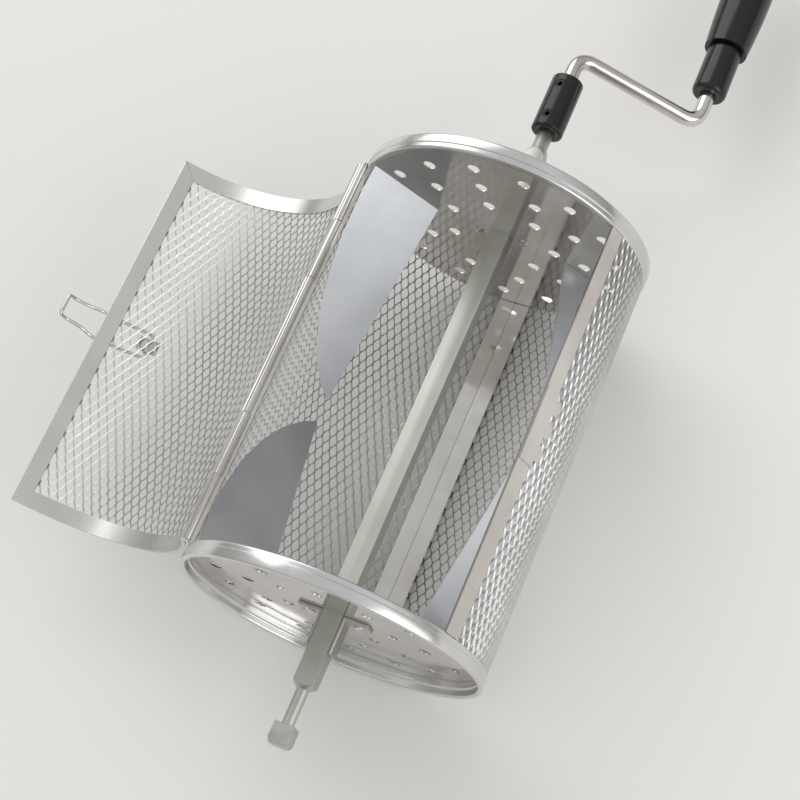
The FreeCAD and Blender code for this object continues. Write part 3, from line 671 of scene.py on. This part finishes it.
def round_head(radius, height, centre, out, slotted=False):
    """Domed head on a face, pointing out, with crossed slots where it takes a driver."""
    outline = [(0.0, -0.3), (radius, -0.3)] + dome(radius, height, 6)
    shape = turned(outline, 28)
    axis = Vector((0.0, 1.0, 0.0)).rotation_difference(out).to_matrix().to_4x4()
    if slotted:
        for vertex in shape.verts:
            across = max(abs(vertex.co.x), abs(vertex.co.z))
            near = min(abs(vertex.co.x), abs(vertex.co.z))
            if near < 0.15 * radius * mm and across < 0.62 * radius * mm and vertex.co.y > 0.2 * mm:
                vertex.co.y -= 0.35 * height * mm
    bmesh.ops.transform(shape, matrix=Matrix.Translation(centre) @ axis, verts=shape.verts)
    return shape


def gathered(shapes):
    """One mesh from several."""
    whole = bmesh.new()
    for shape in shapes:
        mesh = bpy.data.meshes.new("part")
        shape.to_mesh(mesh)
        shape.free()
        whole.from_mesh(mesh)
        bpy.data.meshes.remove(mesh)
    return whole


rivet_low, rivet_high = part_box("bracket_rivets")
rivet_offset = rivet_high.x - rivet_inset * mm
rivet_height = (rivet_low.z + rivet_high.z) / 2.0
heads = []
for end, out in (("front", -1.0), ("rear", 1.0)):
    low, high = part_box(end + "_bracket")
    outer = high.y - bracket_stock * mm if out < 0.0 else low.y + bracket_stock * mm
    inner = high.y + cap_stock * mm if out < 0.0 else low.y - cap_stock * mm
    for side in (-1.0, 1.0):
        for face, way in ((outer, out), (inner, -out)):
            centre = Vector((side * rivet_offset, face, rivet_height))
            heads.append(round_head(*rivet_head, centre, Vector((0.0, way, 0.0))))
piece("domed_bracket_rivets", gathered(heads), "drum", fastener_steel,
      ("bracket_rivets",), 40.0)
for end in ("front", "rear"):
    low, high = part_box(end + "_clamp_screw")
    centre = Vector((screw_seat * mm, (low.y + high.y) / 2.0, (low.z + high.z) / 2.0))
    screw = round_head(*screw_head, centre, Vector((-1.0, 0.0, 0.0)), True)
    piece("round_%s_clamp_screw" % end, screw, "drum", fastener_steel,
          (end + "_clamp_screw",), 40.0)


# Coupling sleeve
# A glossy moulded sleeve joins the spit's shank to the crank. Two grub screws, sunk in tapped holes
# in its wall, bear on the two round ends.
sleeve_low, sleeve_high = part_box("coupling_sleeve")
sleeve_front, sleeve_rear = sleeve_low.y / mm, sleeve_high.y / mm
sleeve_radius = 6.72
sleeve_bend = 0.9
shank_radius = 3.25
tapped_radius = 2.05
drill_start = 3.0
drill_stop = 9.0


def moulding(name, colour, roughness, spread, depth):
    """Glossy black plastic with a faint flow in its shine."""
    material = bpy.data.materials.new(name)
    material.use_nodes = True
    tree = material.node_tree
    shader = tree.nodes["Principled BSDF"]
    shader.inputs["Base Color"].default_value = srgb(colour)
    spot = add_node(tree, "ShaderNodeTexCoord").outputs["Object"]
    flow = add_node(tree, "ShaderNodeTexNoise", [(spot, "Vector")], Scale=1.0 / (9.0 * mm),
                    Detail=3.0)
    gloss = add_node(tree, "ShaderNodeMapRange", [(flow.outputs["Fac"], "Value")],
                     From_Min=0.3, From_Max=0.7, To_Min=roughness - spread, To_Max=roughness + spread)
    skin = add_node(tree, "ShaderNodeTexNoise", [(spot, "Vector")], Scale=1.0 / (0.6 * mm),
                    Detail=2.0)
    bump = add_node(tree, "ShaderNodeBump", [(skin.outputs["Fac"], "Height")], Strength=depth,
                    Distance=0.05 * mm)
    tree.links.new(gloss.outputs["Result"], shader.inputs["Roughness"])
    tree.links.new(bump.outputs["Normal"], shader.inputs["Normal"])
    return material


# Black moulding: deep gloss with sharp highlights along its length.
black_moulding = moulding("glossy black moulding", "#0E1011", 0.20, 0.05, 0.12)
sleeve_outline = [Vector(point) for point in (
    (shank_radius, sleeve_front), (sleeve_radius, sleeve_front), (sleeve_radius, sleeve_rear),
    (shank_radius, sleeve_rear))]
closed_outline = sleeve_outline + sleeve_outline[:2]
sleeve = turned([(point.x, point.y) for point in rounded(closed_outline, sleeve_bend, 4)[1:-1]], 64)
sleeve_mesh = bpy.data.meshes.new("sleeve")
sleeve.to_mesh(sleeve_mesh)
sleeve.free()
sleeve_object = bpy.data.objects.new("sleeve", sleeve_mesh)
scene.collection.objects.link(sleeve_object)
for node in ("set_screw_1", "set_screw_2"):
    low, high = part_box(node)
    middle = (low + high) / 2.0
    out = Vector((middle.x, 0.0, middle.z)).normalized()
    drill = turned([(0.0, drill_start), (tapped_radius, drill_start), (tapped_radius, drill_stop),
                    (0.0, drill_stop)], 32)
    lay = Vector((0.0, 1.0, 0.0)).rotation_difference(out).to_matrix().to_4x4()
    bmesh.ops.transform(drill, matrix=Matrix.Translation((0.0, middle.y, 0.0)) @ lay,
                        verts=drill.verts)
    drill_mesh = bpy.data.meshes.new("drill")
    drill.to_mesh(drill_mesh)
    drill.free()
    drill_object = bpy.data.objects.new("drill", drill_mesh)
    scene.collection.objects.link(drill_object)
    cut = sleeve_object.modifiers.new("tapped hole", "BOOLEAN")
    cut.object = drill_object
    cut.operation = "DIFFERENCE"
made = sleeve_object.evaluated_get(bpy.context.evaluated_depsgraph_get())
drilled_sleeve = bpy.data.meshes.new_from_object(made)
for spent in [sleeve_object] + [o for o in scene.objects if o.name.startswith("drill")]:
    bpy.data.objects.remove(spent)
piece("drilled_sleeve", drilled_sleeve, "drum", black_moulding,
      ("coupling_sleeve",), 30.0)

# Blackened grub screws: nearly as dark as the sleeve, with a dull metal glint at the socket.
black_steel = steel("blackened grub screws", "#3A3B3C", "#2E2F30", 0.32, 0.05, (1.0, 1.0, 1.0), 0.1)
for node in ("set_screw_1", "set_screw_2"):
    piece("socket_" + node, softened(node, 0.1 * mm), "drum", black_steel,
          (node,), 30.0)


# Crank
# One polished round steel rod with two cold bends runs out of the sleeve, across and on through the
# grip. A spring washer pushed on its end keeps the grip from sliding off.
rod_low, rod_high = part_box("crank_rod")
rod_radius = 3.25
crank_throw = 58.0
crank_angle = math.radians(119.0)
arm_place = 294.0
crank_bend = 7.5
spin_place = Vector((crank_throw * math.sin(crank_angle), 0.0, crank_throw * math.cos(crank_angle)))
crank_path = [
    Vector((0.0, rod_low.y / mm, 0.0)),
    Vector((0.0, arm_place, 0.0)),
    spin_place + Vector((0.0, arm_place, 0.0)),
    spin_place + Vector((0.0, rod_high.y / mm, 0.0)),
]
piece("bent_crank", swept([point * mm for point in rounded(crank_path, crank_bend, 12)],
                          rod_radius, 40), "drum", polished_steel,
      ("crank_rod",), 40.0)
piece("spring_washer", softened("grip_retainer", 0.1 * mm), "drum",
      fastener_steel, ("grip_retainer",), 30.0)


# Grip
# A glossy moulded plastic grip swells in the palm and turns freely on the crank, behind a short
# collar. A plug closes the socket at its rear end.
grip_low, grip_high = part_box("grip_handle")
collar_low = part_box("grip_collar")[0]
grip_front, grip_rear = grip_low.y / mm, grip_high.y / mm
collar_front = collar_low.y / mm
grip_bore = 3.35
collar_radii = (6.7, 7.4, 7.35)
collar_flare = 1.6
grip_radii = (9.28, 10.68, 8.48)
socket_radius = 5.5
socket_depth = 8.0
plug_radius = 5.45
grip_centre = (spin_place.x * mm, spin_place.z * mm)
collar_outline = [(grip_bore, collar_front), (collar_radii[0], collar_front),
                  (collar_radii[1], collar_front + collar_flare), (collar_radii[2], grip_front),
                  (grip_bore, grip_front)]
closed_outline = collar_outline + collar_outline[:2]
piece("moulded_collar", turned([(point.x, point.y) for point in
                                rounded(closed_outline, 0.7, 4)[1:-1]], 64, grip_centre),
      "grip", black_moulding, ("grip_collar",), 40.0)
grip_steps = 24
grip_outline = [(grip_bore, grip_front)]
for number in range(grip_steps + 1):
    part = number / grip_steps
    radius = (grip_radii[0] * 2.0 * (part - 0.5) * (part - 1.0)
              + grip_radii[1] * 4.0 * part * (1.0 - part)
              + grip_radii[2] * 2.0 * part * (part - 0.5))
    grip_outline.append((radius, grip_front + (grip_rear - 2.5 - grip_front) * part))
grip_outline += [(7.9, grip_rear - 1.0), (6.2, grip_rear), (socket_radius, grip_rear),
                 (socket_radius, grip_rear - socket_depth), (grip_bore, grip_rear - socket_depth)]
piece("moulded_grip", turned(grip_outline, 72, grip_centre), "grip",
      black_moulding, ("grip_handle",), 40.0)
plug_low, plug_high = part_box("grip_end_plug")
plug_outline = [(0.0, plug_low.y / mm), (plug_radius, plug_low.y / mm),
                (plug_radius, plug_high.y / mm - 0.4), (5.0, plug_high.y / mm),
                (0.0, plug_high.y / mm)]
piece("moulded_plug", turned(plug_outline, 64, grip_centre), "grip",
      black_moulding, ("grip_end_plug",), 40.0)
